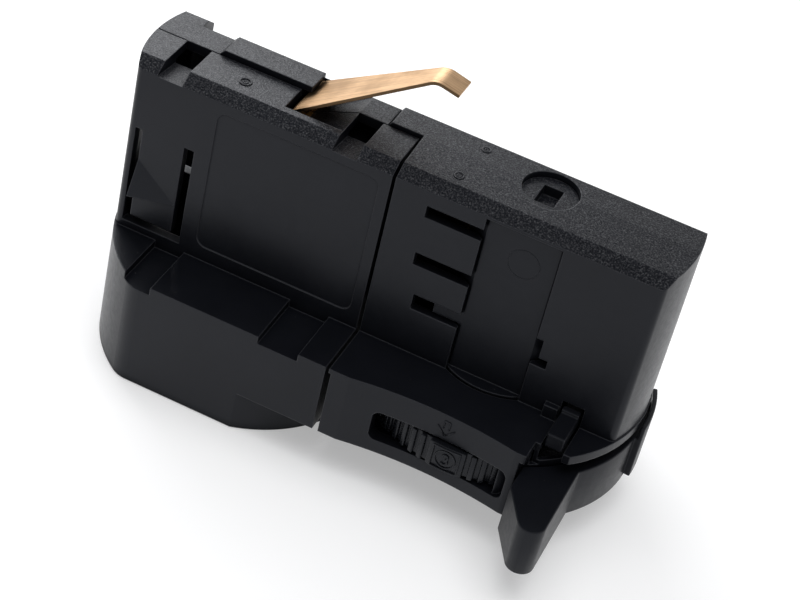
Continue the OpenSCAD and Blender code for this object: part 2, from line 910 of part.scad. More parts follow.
// block under the ramp that the strip's tail leans on
module earth_terminal() {
    x0 = strip_x + strip_t / 2 + fit;
    z1 = ramp_z - wall - fit;
    color([0.78, 0.62, 0.3])
    difference() {
        box([x0, -earth_half, z1 - earth_h], [x0 + earth_len, earth_half, z1]);
        cross_post(x0 + earth_len / 2, z1 - earth_h / 2, earth_bore_r, -2 * earth_half, 2 * earth_half);
    }
}

// unit vector across the step from a to b
function across(a, b) = [a[1] - b[1], b[0] - a[0]] / norm(b - a);

// corner of a band's side at b, at the distance d from the line a, b, c
function corner(a, b, c, d) = b + (across(a, b) + across(b, c)) * d / (1 + across(a, b) * across(b, c));

// one side of the strip, at the distance d from its line
function strip_side(p, d) = [p[0] + across(p[0], p[1]) * d, corner(p[0], p[1], p[2], d),
    corner(p[1], p[2], p[3], d), p[3] + across(p[2], p[3]) * d];

// bent spring strip: section in X and Z, cut to a tapered outline
module earth_strip() {
    low = strip_side(strip_line, -strip_t / 2);
    high = strip_side(strip_line, strip_t / 2);
    x0 = strip_x - 1;
    x1 = strip_x + strip_taper;
    x2 = strip_tip_x + 1;
    w0 = strip_root_w / 2;
    w1 = strip_tip_w / 2;
    color([0.8, 0.5, 0.28])
    intersection() {
        along_y(-strip_root_w, strip_root_w, concat(high, [for (i = [3 : -1 : 0]) low[i]]));
        linear_extrude(big)
            polygon([[x0, -w0], [x1, -w0], [strip_peak_x, -w1], [x2, strip_soft - w1],
                [x2, w1 - strip_soft], [strip_peak_x, w1], [x1, w0], [x0, w0]]);
    }
}

// plan of the wing that the finger pushes
module wing_plan() {
    v = wing_tip - wing_knee;
    d = norm(v);
    // the left side runs straight from the knee to where it touches the tip's circle
    a = atan2(v[1], v[0]) - asin(wing_tip_r / d);
    touch = wing_knee + sqrt(d * d - wing_tip_r * wing_tip_r) * [cos(a), sin(a)];
    polygon([[wing_left, wing_root_y], wing_knee, touch, wing_tip, [wing_right, wing_tip[1]],
        [wing_right, wing_root_y + wing_tip_r]]);
    translate(wing_tip) circle(wing_tip_r);
}

module lever() {
    color([0.07, 0.07, 0.08])
    difference() {
        union() {
            post(arc_x, 0, base_r, bottom, bottom + base_t);
            intersection() {
                post(arc_x, 0, end_r, bottom, bottom + base_t);
                wedge(base_a0, rim_a1, bottom - 1, big);
            }
            intersection() {
                ring(rim_in_r, end_r, bottom, lever_top);
                wedge(rim_a0, rim_a1, bottom - 1, big);
            }
            difference() {
                translate([0, 0, bottom]) linear_extrude(lever_top - bottom) wing_plan();
                post(arc_x, 0, rim_in_r, bottom + base_t, big);
            }
            // finger rib at the rear end of the rim, beside and above it
            intersection() {
                ring(end_r - rib_in, end_r + rib_out, bottom + 1, lever_top);
                wedge(rib_a0, rim_a1, bottom - 1, big);
            }
            intersection() {
                ring(end_r + clear, end_r + rib_out, lever_top - 1, rib_top);
                wedge(rib_a0, rim_a1, bottom - 1, big);
            }
            post(arc_x, 0, post_r, bottom, post_top);
        }
        // hole and head recess of the rotor screw
        post(arc_x, 0, screw_hole_r, bottom - 1, post_top + 1);
        post(arc_x, 0, screw_room_r, bottom - 1, bottom + screw_room_h);
    }
}

// contact arm of the rotor at the lowest slot
module arm() {
    box([arc_x - arm_reach, -rotor_flat, slot3_z + arm_low],
        [arc_x - arm_root, arm_t - rotor_flat, slot3_z + slot3_h - arm_high]);
}

// drum with two flat faces, a taller front face, foot disc, top journal and two arms
module rotor_drum() {
    color([0.09, 0.09, 0.1])
    difference() {
        union() {
            intersection() {
                post(arc_x, 0, rotor_r, rotor_low, drum_top);
                box([-big, -rotor_flat, -1], [big, rotor_flat, big]);
            }
            intersection() {
                ring(face_in_r, rotor_r, drum_top - 1, window_top - clear);
                wedge(face_a0, face_a1, 0, big);
                box([-big, -rotor_flat, 0], [big, rotor_flat, big]);
            }
            post(arc_x, 0, rotor_foot_r, rotor_low, rotor_low + rotor_foot_t);
            post(arc_x, 0, journal_r, journal_low, neck_h - journal_sink);
            arm();
            half_turn() arm();
        }
        // seat of the lever's post, pilot hole of the rotor screw and the slot in the top journal
        post(arc_x, 0, post_r + fit, rotor_low - 1, post_top + eps);
        post(arc_x, 0, hold_pilot_r, 0, hold_top + hold_room);
        box([arc_x - pointer_w / 2, pointer_y0, neck_h - journal_sink - pointer_d],
            [arc_x + pointer_w / 2, pointer_y1, big]);
        // slots of the contact blades
        contact_blade(eps);
        half_turn() contact_blade(eps);
    }
}

// copper blade inside the end of a contact arm, grown by the given clearance
module contact_blade(grow) {
    z = slot3_z + slot3_h / 2;
    x0 = arc_x - arm_reach;
    box([x0 + eps - 4 * grow, blade_back - rotor_flat - grow, z - blade_t / 2 - grow],
        [x0 + blade_len + grow, arm_t - rotor_flat - fit + 4 * grow, z + blade_t / 2 + grow]);
}

module phase_contact() {
    color([0.8, 0.5, 0.28]) contact_blade(0);
}

module neutral_contact() {
    color([0.8, 0.5, 0.28]) half_turn() contact_blade(0);
}

module rotor_screw() {
    color([0.62, 0.62, 0.64])
    difference() {
        union() {
            post(arc_x, 0, hold_r, bottom + 1, hold_top);
            post(arc_x, 0, hold_head_r, bottom + hold_sink, bottom + hold_sink + hold_head_h);
        }
        translate([arc_x, 0, bottom]) cube([hold_slot_len, hold_slot, 2 * hold_slot], center = true);
        translate([arc_x, 0, bottom]) cube([hold_slot, hold_slot_len, 2 * hold_slot], center = true);
    }
}

module rotor_washer() {
    low = bottom + hold_sink + hold_head_h + eps;
    color([0.7, 0.7, 0.72]) ring(hold_pilot_r, washer_r, low, low + washer_t);
}

// wheel with ribs, three plain plates for the numbers and a running bore on the lever's post
module thumbwheel() {
    plates = [for (i = [0 : 2]) plate_a - i * plate_step];
    color([0.08, 0.08, 0.09])
    difference() {
        post(arc_x, 0, wheel_r, wheel_z, wheel_top);
        post(arc_x, 0, post_r + run_fit, wheel_z - 1, big);
        // hollow faces leave a web between the rim and the hub
        ring(post_r + wheel_hub, wheel_r - wheel_rim, wheel_top - wheel_web, wheel_top + 1);
        ring(post_r + wheel_hub, wheel_r - wheel_rim, wheel_z - 1, wheel_z + wheel_web);
        for (a = [0 : rib_step : 360 - rib_step]) {
            if (min([for (p = plates) abs(p + 360 - a)]) > plate_half) {
                translate([arc_x, 0, wheel_z]) rotate([0, 0, a])
                    translate([wheel_r - rib_depth, -groove_w / 2, -1]) cube([2, groove_w, wheel_h + 2]);
            }
        }
    }
}

// sprung button that stands over the ledge and is pressed down by the track
module interlock_button() {
    z1 = btn_z0 + btn_h;
    color([0.07, 0.07, 0.08]) {
        box([btn_x0, btn_y0, btn_z0], [btn_x1, btn_y1, z1]);
        box([btn_x0, -neck_half - ridge_out, z1 - eps],
            [btn_x1, ridge_w - neck_half - ridge_out, z1 + ridge_h]);
    }
}

left_front_shell();
left_rear_shell();
right_front_shell();
right_rear_shell();
shell_screws();
thread_bush();
terminal_block();
terminal_clamps();
terminal_screws();
phase_strip();
neutral_strip();
earth_terminal();
earth_strip();
lever();
rotor_drum();
phase_contact();
neutral_contact();
rotor_screw();
rotor_washer();
thumbwheel();
interlock_button();
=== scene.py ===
import math

import bmesh
import bpy
from mathutils import Matrix, Vector
from mathutils.bvhtree import BVHTree


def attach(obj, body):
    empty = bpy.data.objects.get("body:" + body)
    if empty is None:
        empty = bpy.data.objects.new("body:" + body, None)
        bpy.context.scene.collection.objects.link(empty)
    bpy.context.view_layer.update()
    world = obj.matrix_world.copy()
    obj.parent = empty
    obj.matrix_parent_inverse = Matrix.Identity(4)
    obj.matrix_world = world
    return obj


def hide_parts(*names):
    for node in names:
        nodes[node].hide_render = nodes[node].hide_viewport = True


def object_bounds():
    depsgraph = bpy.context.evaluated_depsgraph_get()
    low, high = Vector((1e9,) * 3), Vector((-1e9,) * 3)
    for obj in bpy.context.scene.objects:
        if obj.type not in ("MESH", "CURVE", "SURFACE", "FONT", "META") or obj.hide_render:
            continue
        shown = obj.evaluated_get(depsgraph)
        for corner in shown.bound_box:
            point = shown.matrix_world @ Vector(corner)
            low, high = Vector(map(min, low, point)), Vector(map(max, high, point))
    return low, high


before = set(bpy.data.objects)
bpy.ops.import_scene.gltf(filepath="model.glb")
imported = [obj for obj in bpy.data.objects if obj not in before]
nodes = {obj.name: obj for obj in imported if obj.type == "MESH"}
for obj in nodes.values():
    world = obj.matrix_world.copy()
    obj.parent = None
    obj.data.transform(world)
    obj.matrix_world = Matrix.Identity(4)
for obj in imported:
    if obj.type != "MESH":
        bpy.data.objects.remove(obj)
cad_low, cad_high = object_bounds()
scene = bpy.context.scene
scene.view_settings.view_transform = "Standard"
MM = 0.001
WHITE = (1.0, 1.0, 1.0, 1.0)

# values shared with the part's source, in millimetres and degrees
ARC_X = 18.7
HALF_W = 18.0
NECK_H = 27.65
ROTOR_FLAT = 7.4
WHEEL_R = 17.65
WHEEL_Z = -8.8
WHEEL_H = 4.2
PLATE_STEP = 40
BUSH_BORE = 4.6
BUSH_Z0 = -17.3
BUSH_Z1 = -9.5
HOLLOW_X = 15.5
HOLLOW_HALF = 12.2
HOLLOW_DEEP = 1.2
STRIP_T = 0.5
STRIP_LINE = ((-17.0, NECK_H - 6.2), (-17.0, NECK_H - 1.1), (0.7, NECK_H + 10.55), (4.1, NECK_H + 9.75))
STRIP_PLAN = ((-18.0, 4.2), (-15.5, 4.2), (0.7, 2.1), (5.1, 2.0))


# node trees

class Tree:
    """Short ways to add nodes to the tree of a material or a world. They take and give output sockets."""

    def __init__(self, owner):
        owner.use_nodes = True
        self.tree = owner.node_tree
        self.tree.nodes.clear()

    def node(self, kind, values=None, **settings):
        n = self.tree.nodes.new(kind)
        for key, value in settings.items():
            setattr(n, key, value)
        for key, value in (values or {}).items():
            n.inputs[key].default_value = value
        return n

    def link(self, source, node, name):
        self.tree.links.new(source, node.inputs[name])

    def split(self, vector):
        n = self.node("ShaderNodeSeparateXYZ")
        self.link(vector, n, "Vector")
        return n.outputs

    def span(self, source, low, high, to_low, to_high):
        n = self.node("ShaderNodeMapRange", {
            "From Min": low, "From Max": high, "To Min": to_low, "To Max": to_high})
        self.link(source, n, "Value")
        return n.outputs["Result"]

    def join(self, operation, a, b):
        n = self.node("ShaderNodeMath", operation=operation)
        self.link(a, n, 0)
        self.link(b, n, 1)
        return n.outputs["Value"]

    def mix_shader(self, factor, a, b):
        n = self.node("ShaderNodeMixShader")
        self.link(factor, n, 0)
        self.link(a, n, 1)
        self.link(b, n, 2)
        return n.outputs[0]

    def background_ray(self):
        """1 for the rays that show the background: camera, glossy and transmission rays."""
        path = self.node("ShaderNodeLightPath").outputs
        direct = self.join("MAXIMUM", path["Is Camera Ray"], path["Is Glossy Ray"])
        return self.join("MAXIMUM", direct, path["Is Transmission Ray"])


class Finish(Tree):
    """A material with a principled shader."""

    def __init__(self, name):
        self.material = bpy.data.materials.new(name)
        super().__init__(self.material)
        self.shader = self.node("ShaderNodeBsdfPrincipled")
        out = self.node("ShaderNodeOutputMaterial")
        self.link(self.shader.outputs["BSDF"], out, "Surface")
        self.place = self.node("ShaderNodeTexCoord").outputs["Object"]
        self.normal = self.node("ShaderNodeNewGeometry").outputs["Normal"]

    def set(self, **values):
        """Sets inputs of the shader, with _ for a space in a name, to a socket or a plain value."""
        for key, value in values.items():
            name = key.replace("_", " ")
            if isinstance(value, bpy.types.NodeSocket):
                self.link(value, self.shader, name)
            else:
                self.shader.inputs[name].default_value = value

    def noise(self, scale, detail, rough, stretch=None):
        n = self.node("ShaderNodeTexNoise", {"Scale": scale, "Detail": detail, "Roughness": rough})
        place = self.place
        if stretch:
            mapping = self.node("ShaderNodeMapping", {"Scale": stretch})
            self.link(place, mapping, "Vector")
            place = mapping.outputs["Vector"]
        self.link(place, n, "Vector")
        return n.outputs["Fac"]

    def ramp(self, source, low, dark, high, light):
        n = self.node("ShaderNodeValToRGB")
        for element, at, colour in zip(n.color_ramp.elements, (low, high), (dark, light)):
            element.position = at
            element.color = (*colour, 1.0)
        self.link(source, n, "Fac")
        return n.outputs["Color"]

    def tint(self, factor, colour, toward):
        """Colour socket that goes over to a plain colour as the factor rises."""
        n = self.node("ShaderNodeMix", {7: (*toward, 1.0)}, data_type="RGBA")
        self.link(factor, n, "Factor")
        self.link(colour, n, 6)
        return n.outputs[2]

    def blend(self, factor, a, b):
        """Number between the socket or plain value a and the socket b."""
        n = self.node("ShaderNodeMix", data_type="FLOAT")
        self.link(factor, n, "Factor")
        if isinstance(a, bpy.types.NodeSocket):
            self.link(a, n, 2)
        else:
            n.inputs[2].default_value = a
        self.link(b, n, 3)
        return n.outputs[0]

    def bump(self, height, distance, strength, under=None):
        n = self.node("ShaderNodeBump", {"Distance": distance, "Strength": strength})
        self.link(height, n, "Height")
        if under is not None:
            self.link(under, n, "Normal")
        return n.outputs["Normal"]


# materials

GRAIN_Z = (24.9 * MM, 25.3 * MM)
# painted highlight colour for the rounded edges
EDGE_HIGHLIGHT = (0.045, 0.047, 0.053)
# painted highlight colour for the grain's peaks on the neck's top
GRAIN_HIGHLIGHT = (0.075, 0.076, 0.08)
DUST = (0.12, 0.12, 0.12)
PLASTIC_IOR = 1.33
PLASTIC_SHEEN = (0.89, 0.92, 1.0, 1.0)
FULL_SHINE = 0.5
# reach of the painted shade in corners and narrow slots
CORNER_REACH = 1.6 * MM
NODE_SAMPLES = 6


def plastic(name, dark, light, top_rough, side_rough, grain, speck, edge, shaded_shine):
    """Black moulded plastic: spark-eroded grain on the neck's top, smoother sides, dust; painted highlights
    on the edges and on the grain's peaks, painted shade in corners.
    """
    t = Finish(name)
    up = t.span(t.split(t.normal)["Z"], 0.35, 0.6, 0.0, 1.0)
    high = t.span(t.split(t.place)["Z"], *GRAIN_Z, 0.0, 1.0)
    top = t.join("MULTIPLY", up, high)
    fine = t.noise(4400, 3.0, 0.65)
    coarse = t.noise(1300, 2.0, 0.5)
    grit = t.span(fine, 0.3, 0.7, 0.0, 1.0)
    colour = t.ramp(t.noise(90, 4.0, 0.6), 0.3, dark, 0.72, light)
    # small rounded edges, and a painted highlight along them that stands in for the light they catch
    soft = t.node("ShaderNodeBevel", {"Radius": edge}, samples=NODE_SAMPLES).outputs["Normal"]
    turned = t.node("ShaderNodeVectorMath", operation="DOT_PRODUCT")
    t.link(soft, turned, 0)
    t.link(t.normal, turned, 1)
    colour = t.tint(t.span(turned.outputs["Value"], 0.985, 0.86, 0.0, 0.85), colour, EDGE_HIGHLIGHT)
    # painted highlight: the grain's peaks on the neck's top are painted pale, standing in for the light they
    # catch
    colour = t.tint(t.join("MULTIPLY", t.span(fine, 0.53, 0.7, 0.0, 0.7), top), colour, GRAIN_HIGHLIGHT)
    # specks of dust that settle on the faces that look up
    spot = t.span(t.noise(2100, 1.0, 0.4), 0.79, 0.83, 0.0, speck)
    colour = t.tint(t.join("MULTIPLY", spot, up), colour, DUST)
    # painted shade: corners and narrow slots are given less shine, which darkens them; the grain's pits on
    # the neck's top shine less too
    corner = t.node("ShaderNodeAmbientOcclusion", {"Distance": CORNER_REACH}, samples=NODE_SAMPLES)
    shine = t.span(corner.outputs["AO"], 0.42, 0.9, shaded_shine, FULL_SHINE)
    pits = t.blend(top, 1.0, t.span(fine, 0.36, 0.64, 0.54, 1.95))
    rough_top = t.span(grit, 0.0, 1.0, top_rough - 0.1, top_rough + 0.1)
    rough_side = t.span(coarse, 0.3, 0.7, side_rough - 0.03, side_rough + 0.04)
    # the sides have a trace of the top's grain
    height = t.join("MULTIPLY", grit, t.span(top, 0.0, 1.0, 0.12, 1.0))
    waves = t.bump(coarse, 0.01 * MM, 0.2, soft)
    t.set(Base_Color=colour, IOR=PLASTIC_IOR, Specular_Tint=PLASTIC_SHEEN,
          Specular_IOR_Level=t.join("MULTIPLY", shine, pits),
          Roughness=t.blend(top, rough_side, rough_top), Normal=t.bump(height, grain, 1.0, waves))
    return t.material


SIDE_TONE = 0.2


def metal(name, dark, light, rough, stretch, scale, side_dark=0.0):
    """Metal with a drawn or brushed grain along one direction. The faces that face along Y, such as a
    strip's side edges, are darker.
    """
    t = Finish(name)
    streak = t.noise(scale, 4.0, 0.6, stretch)
    cloud = t.noise(220, 3.0, 0.55)
    colour = t.ramp(t.join("MULTIPLY", streak, cloud), 0.16, dark, 0.34, light)
    side = t.node("ShaderNodeMath", operation="ABSOLUTE")
    t.link(t.split(t.normal)["Y"], side, 0)
    colour = t.tint(t.span(side.outputs["Value"], 0.6, 0.9, 0.0, side_dark), colour,
                    [c * SIDE_TONE for c in dark])
    t.set(Base_Color=colour, Metallic=1.0, Roughness=t.span(streak, 0.25, 0.75, rough - 0.07, rough + 0.09),
          Normal=t.bump(streak, 0.01 * MM, 0.6))
    return t.material


def moulding(name, dark, light):
    """Off-white moulded insulator."""
    t = Finish(name)
    colour = t.ramp(t.noise(160, 4.0, 0.6), 0.3, dark, 0.7, light)
    grain = t.noise(2200, 2.0, 0.5)
    t.set(Base_Color=colour, Roughness=t.span(grain, 0.3, 0.7, 0.42, 0.55),
          Normal=t.bump(grain, 0.02 * MM, 0.5))
    return t.material


SHELL = plastic("shell_plastic", dark=(0.0039, 0.0043, 0.006), light=(0.0061, 0.0067, 0.0091),
                top_rough=0.37, side_rough=0.34, grain=0.026 * MM, speck=0.6, edge=0.24 * MM, shaded_shine=0.02)
MECH = plastic("mechanism_plastic", dark=(0.0034, 0.0038, 0.0054), light=(0.0056, 0.0062, 0.0085),
               top_rough=0.38, side_rough=0.4, grain=0.02 * MM, speck=0.5, edge=0.22 * MM, shaded_shine=0.42)
# the thumbwheel's glossier finish is its own; its lighter colour is painted light, standing in for the light
# on its protruding ribs
WHEEL = plastic("wheel_plastic", dark=(0.005, 0.0055, 0.0072), light=(0.008, 0.0087, 0.011),
                top_rough=0.34, side_rough=0.27, grain=0.02 * MM, speck=0.4, edge=0.16 * MM, shaded_shine=0.5)
COPPER = metal("brushed_bronze", dark=(0.345, 0.216, 0.113), light=(0.6, 0.4, 0.236),
               rough=0.45, stretch=(0.12, 6.0, 0.12), scale=700, side_dark=0.9)
BRASS = metal("turned_brass", dark=(0.62, 0.47, 0.2), light=(0.82, 0.66, 0.34),
              rough=0.3, stretch=(3.0, 3.0, 0.4), scale=600)
STEEL = metal("plated_steel", dark=(0.48, 0.48, 0.5), light=(0.7, 0.7, 0.72),
              rough=0.33, stretch=(2.0, 2.0, 0.5), scale=700)
CREAM = moulding("terminal_moulding", dark=(0.66, 0.64, 0.58), light=(0.76, 0.75, 0.7))

FINISH = {
    "left_front_shell": SHELL, "left_rear_shell": SHELL, "right_front_shell": SHELL,
    "right_rear_shell": SHELL, "shell_screws": STEEL, "thread_bush": BRASS, "terminal_block": CREAM,
    "terminal_clamps": BRASS, "terminal_screws": STEEL, "phase_strip": COPPER, "neutral_strip": COPPER,
    "earth_terminal": BRASS, "earth_strip": COPPER, "lever": MECH, "rotor_drum": MECH,
    "phase_contact": COPPER, "neutral_contact": COPPER, "rotor_screw": STEEL, "rotor_washer": STEEL,
    "thumbwheel": WHEEL, "interlock_button": MECH,
}

# widths of the rounded edges on the small pieces
EDGES = {
    "lever": 0.3 * MM, "thumbwheel": 0.2 * MM, "interlock_button": 0.22 * MM,
    "thread_bush": 0.2 * MM, "shell_screws": 0.1 * MM, "rotor_screw": 0.1 * MM,
}
WELD_REACH = 0.002 * MM
FLAT_ANGLE = math.radians(0.4)
EDGE_ANGLE = math.radians(32)


def round_edges(o, width):
    """Rounds an object's sharp edges."""
    weld = o.modifiers.new("weld", "WELD")
    weld.merge_threshold = WELD_REACH
    flat = o.modifiers.new("flat", "DECIMATE")
    flat.decimate_type = "DISSOLVE"
    flat.angle_limit = FLAT_ANGLE
    bevel = o.modifiers.new("edges", "BEVEL")
    bevel.limit_method = "ANGLE"
    bevel.angle_limit = EDGE_ANGLE
    bevel.width = width
    bevel.segments = 3
    bevel.harden_normals = True


for node_name, node_object in nodes.items():
    node_object.data.materials.clear()
    node_object.data.materials.append(FINISH[node_name])
    if node_name in EDGES:
        round_edges(node_object, EDGES[node_name])


# ways to make small pieces

def add_mesh(name, bm, body, material, smooth=True):
    me = bpy.data.meshes.new(name)
    bmesh.ops.recalc_face_normals(bm, faces=bm.faces)
    bm.to_mesh(me)
    bm.free()
    for p in me.polygons:
        p.use_smooth = smooth
    me.materials.append(material)
    o = bpy.data.objects.new(name, me)
    scene.collection.objects.link(o)
    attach(o, body)
    return o


def loft(bm, rows, closed=False):
    """Faces between rows of points, with a cap at each end unless the last row meets the first."""
    sides = len(rows[0])
    for r0, r1 in zip(rows, rows[1:] + rows[:1] if closed else rows[1:]):
        for k in range(sides):
            after = (k + 1) % sides
            bm.faces.new((r0[k], r0[after], r1[after], r1[k]))
    if not closed:
        bm.faces.new(rows[0])
        bm.faces.new(rows[-1][::-1])


# a raised line's section: shares of its width and height, between feet sunk into the surface
LINE_SECTION = ((0.38, 0.75), (0.2, 1.0), (-0.2, 1.0), (-0.38, 0.75))
LINE_SINK = 0.03


def stroke(bm, points, width, height, place, closed=False):
    """Raised line along flat points in millimetres. place turns (u, v, out) into a point in metres."""
    section = [(width * w, height * h) for w, h in LINE_SECTION]
    section = [(width / 2, -LINE_SINK), *section, (-width / 2, -LINE_SINK)]
    last = len(points) - 1
    rows = []
    for i, p in enumerate(points):
        before = points[i - 1] if i > 0 or closed else p
        after = points[(i + 1) % len(points)] if i < last or closed else p
        along = (Vector(after) - Vector(before)).normalized()
        side = Vector((-along.y, along.x))
        rows.append([bm.verts.new(place(*(Vector(p) + side * w), h)) for w, h in section])
    loft(bm, rows, closed)


def arc(r, a0, a1, count, cu=0.0, cv=0.0):
    """Points from the angle a0 to a1, both included."""
    angles = [math.radians(a0 + (a1 - a0) * i / count) for i in range(count + 1)]
    return [(cu + r * math.cos(a), cv + r * math.sin(a)) for a in angles]


def ring(r, count):
    return arc(r, 0, 360, count)[:-1]


def flat_place(origin, u_dir, v_dir, out_dir):
    """Places flat points on a plane."""
    o, u0, v0, w0 = (Vector(x) for x in (origin, u_dir, v_dir, out_dir))

    def place(u, v, out):
        return (o + u0 * u + v0 * v + w0 * out) * MM
    return place


# numbers on the thumbwheel, each in a ring and a frame

DIGITS = {
    1: [[(-0.32, 0.5), (0.05, 0.85), (0.05, -0.85)]],
    2: [arc(0.45, 165, -35, 14, 0.0, 0.38) + [(-0.48, -0.82), (0.5, -0.82)]],
    3: [arc(0.42, 150, -80, 14, -0.02, 0.42), arc(0.45, 80, -150, 14, -0.02, -0.4)],
}
DIGIT_LINE = (0.34, 0.2)
RING_LINE = (0.26, 0.16)
RING_R = 1.45
FRAME_LINE = (0.3, 0.22)
FRAME_HALF_U = 1.95
FRAME_HALF_V = 1.85
FRAME_STEPS = 8
FRONT = -90


def on_wheel(angle):
    """Places flat points on the wheel's rim, centred on the given angle."""
    mid = WHEEL_Z + WHEEL_H / 2

    def place(u, v, out):
        a = math.radians(angle) + u / WHEEL_R
        r = WHEEL_R + out
        return Vector((ARC_X + r * math.cos(a), r * math.sin(a), mid + v)) * MM
    return place


def number_plate(digit, angle):
    place = on_wheel(angle)
    bm = bmesh.new()
    for line in DIGITS[digit]:
        stroke(bm, line, *DIGIT_LINE, place)
    stroke(bm, ring(RING_R, 40), *RING_LINE, place, closed=True)
    corners = [Vector((u * FRAME_HALF_U, v * FRAME_HALF_V)) for u, v in ((-1, -1), (1, -1), (1, 1), (-1, 1))]
    outline = []
    for a, b in zip(corners, corners[1:] + corners[:1]):
        outline += [a.lerp(b, k / FRAME_STEPS) for k in range(FRAME_STEPS)]
    stroke(bm, outline, *FRAME_LINE, place, closed=True)
    add_mesh(f"wheel_number_{digit}", bm, "selector", WHEEL)


for steps, number in enumerate((3, 2, 1)):
    number_plate(number, FRONT - steps * PLATE_STEP)


# plain arrow above the wheel's window, on the thumb hollow

ARROW_X = 17.6
ARROW_Z = -2.4
SHAFT_HALF = 0.42
SHAFT_TOP = 1.35
SHAFT_FOOT = 0.1
SHAFT_LINE = (0.22, 0.12)
HEAD_HALF = 1.25
HEAD_TOP = 0.25
HEAD_TIP = -1.1
HEAD_LINE = (0.24, 0.12)


def on_hollow(u, v, out):
    """Places flat points round the arrow's middle on the hollow's arc."""
    x = ARROW_X + u
    r = (HOLLOW_HALF ** 2 + HOLLOW_DEEP ** 2) / (2 * HOLLOW_DEEP)
    y = HOLLOW_DEEP - HALF_W - r + math.sqrt(r ** 2 - (x - HOLLOW_X) ** 2)
    return Vector((x, y - out, ARROW_Z + v)) * MM


arrow = bmesh.new()
for s in (-1, 1):
    stroke(arrow, [(s * SHAFT_HALF, SHAFT_TOP), (s * SHAFT_HALF, SHAFT_FOOT)], *SHAFT_LINE, on_hollow)
    stroke(arrow, [(s * HEAD_HALF, HEAD_TOP), (0.0, HEAD_TIP)], *HEAD_LINE, on_hollow)
stroke(arrow, [(-SHAFT_HALF, SHAFT_TOP), (SHAFT_HALF, SHAFT_TOP)], *SHAFT_LINE, on_hollow)
add_mesh("wheel_arrow", arrow, "housing", SHELL)


# round marks that the mould's ejector pins left on the rotor's face and on the neck's top

ROTOR_MARK_AT = (19.45, -ROTOR_FLAT, 20.8)
ROTOR_MARK_R = 2.2
ROTOR_MARK_LINE = (0.16, 0.05)
PIN_RING_W = 0.32
PIN_DOT_W = 0.26
PIN_DOT_SHARE = 0.4
PIN_DOT_LIFT = 0.6
PLUMB_FROM = 0.06

rotor_mark = bmesh.new()
on_rotor = flat_place(ROTOR_MARK_AT, (1, 0, 0), (0, 0, 1), (0, -1, 0))
stroke(rotor_mark, ring(ROTOR_MARK_R, 56), *ROTOR_MARK_LINE, on_rotor, closed=True)
add_mesh("rotor_mould_mark", rotor_mark, "lock", MECH)


def drop_on(node, x, y):
    """The point and the outward direction where a plumb line meets a node from above, in metres."""
    me = nodes[node].data
    tree = BVHTree.FromPolygons([v.co for v in me.vertices], [p.vertices for p in me.polygons])
    at, out, _, _ = tree.ray_cast(Vector((x * MM, y * MM, PLUMB_FROM)), Vector((0, 0, -1)))
    return at, out


def pin_mark(name, node, x, y, radius, lift):
    """Small ring with a dimple."""
    at, out = drop_on(node, x, y)
    across = Vector((1, 0, 0))
    place = flat_place(at / MM, across, out.cross(across).normalized(), out)
    bm = bmesh.new()
    stroke(bm, ring(radius, 32), PIN_RING_W, lift, place, closed=True)
    stroke(bm, ring(radius * PIN_DOT_SHARE, 20), PIN_DOT_W, lift * PIN_DOT_LIFT, place, closed=True)
    add_mesh(name, bm, "housing", SHELL)


pin_mark("left_top_mark", "left_front_shell", -24.4, -3.6, 0.78, 0.14)
pin_mark("right_top_mark_front", "right_front_shell", 7.4, -4.5, 0.62, 0.1)
pin_mark("right_top_mark_rear", "right_front_shell", 8.3, 2.6, 0.55, 0.1)


# screw thread in the bush

THREAD_STEPS = 28
THREAD_PITCH = 1.0
THREAD_INSET = 0.5
THREAD_SECTION = (
    (BUSH_BORE + 0.05, -0.4), (BUSH_BORE - 0.32, -0.06), (BUSH_BORE - 0.32, 0.06), (BUSH_BORE + 0.05, 0.4))

thread = bmesh.new()
thread_rows = []
turns = (BUSH_Z1 - BUSH_Z0 - 2 * THREAD_INSET) / THREAD_PITCH
for k in range(int(turns * THREAD_STEPS) + 1):
    a = 2 * math.pi * k / THREAD_STEPS
    z = BUSH_Z0 + THREAD_INSET + THREAD_PITCH * k / THREAD_STEPS
    section = [(-ARC_X + r * math.cos(a), r * math.sin(a), z + dz) for r, dz in THREAD_SECTION]
    thread_rows.append([thread.verts.new(Vector(p) * MM) for p in section])
loft(thread, thread_rows)
add_mesh("bush_thread", thread, "housing", BRASS, smooth=False)


# earth strip with its round bends, in place of the solid with sharp ones

STRIP_BENDS = (0.7, 2.4)
STRIP_EDGE = 0.08 * MM
BEND_STEPS = 20
RUN_STEPS = 8


def bent_line(points, radii):
    """Points and directions along a line in X and Z, with an arc at each inner corner."""
    line = []
    start = Vector(points[0])
    for corner, after, radius in zip(points[1:], points[2:], radii):
        into = (Vector(corner) - start).normalized()
        away = (Vector(after) - Vector(corner)).normalized()
        turn = into.angle(away)
        inward = (away - into * into.dot(away)).normalized()
        bend = Vector(corner) - into * radius * math.tan(turn / 2)
        line += [(start.lerp(bend, k / RUN_STEPS), into) for k in range(RUN_STEPS)]
        for k in range(BEND_STEPS + 1):
            a = turn * k / BEND_STEPS
            at = bend + into * radius * math.sin(a) + inward * radius * (1 - math.cos(a))
            line.append((at, into * math.cos(a) + inward * math.sin(a)))
        start = line.pop()[0]
    end = Vector(points[-1])
    line += [(start.lerp(end, k / RUN_STEPS), away) for k in range(RUN_STEPS + 1)]
    return line


def half_width(x):
    """Half of the strip's width at a place along X."""
    for (x0, w0), (x1, w1) in zip(STRIP_PLAN, STRIP_PLAN[1:]):
        if x <= x1:
            return w0 + (w1 - w0) * (x - x0) / (x1 - x0)
    return STRIP_PLAN[-1][1]


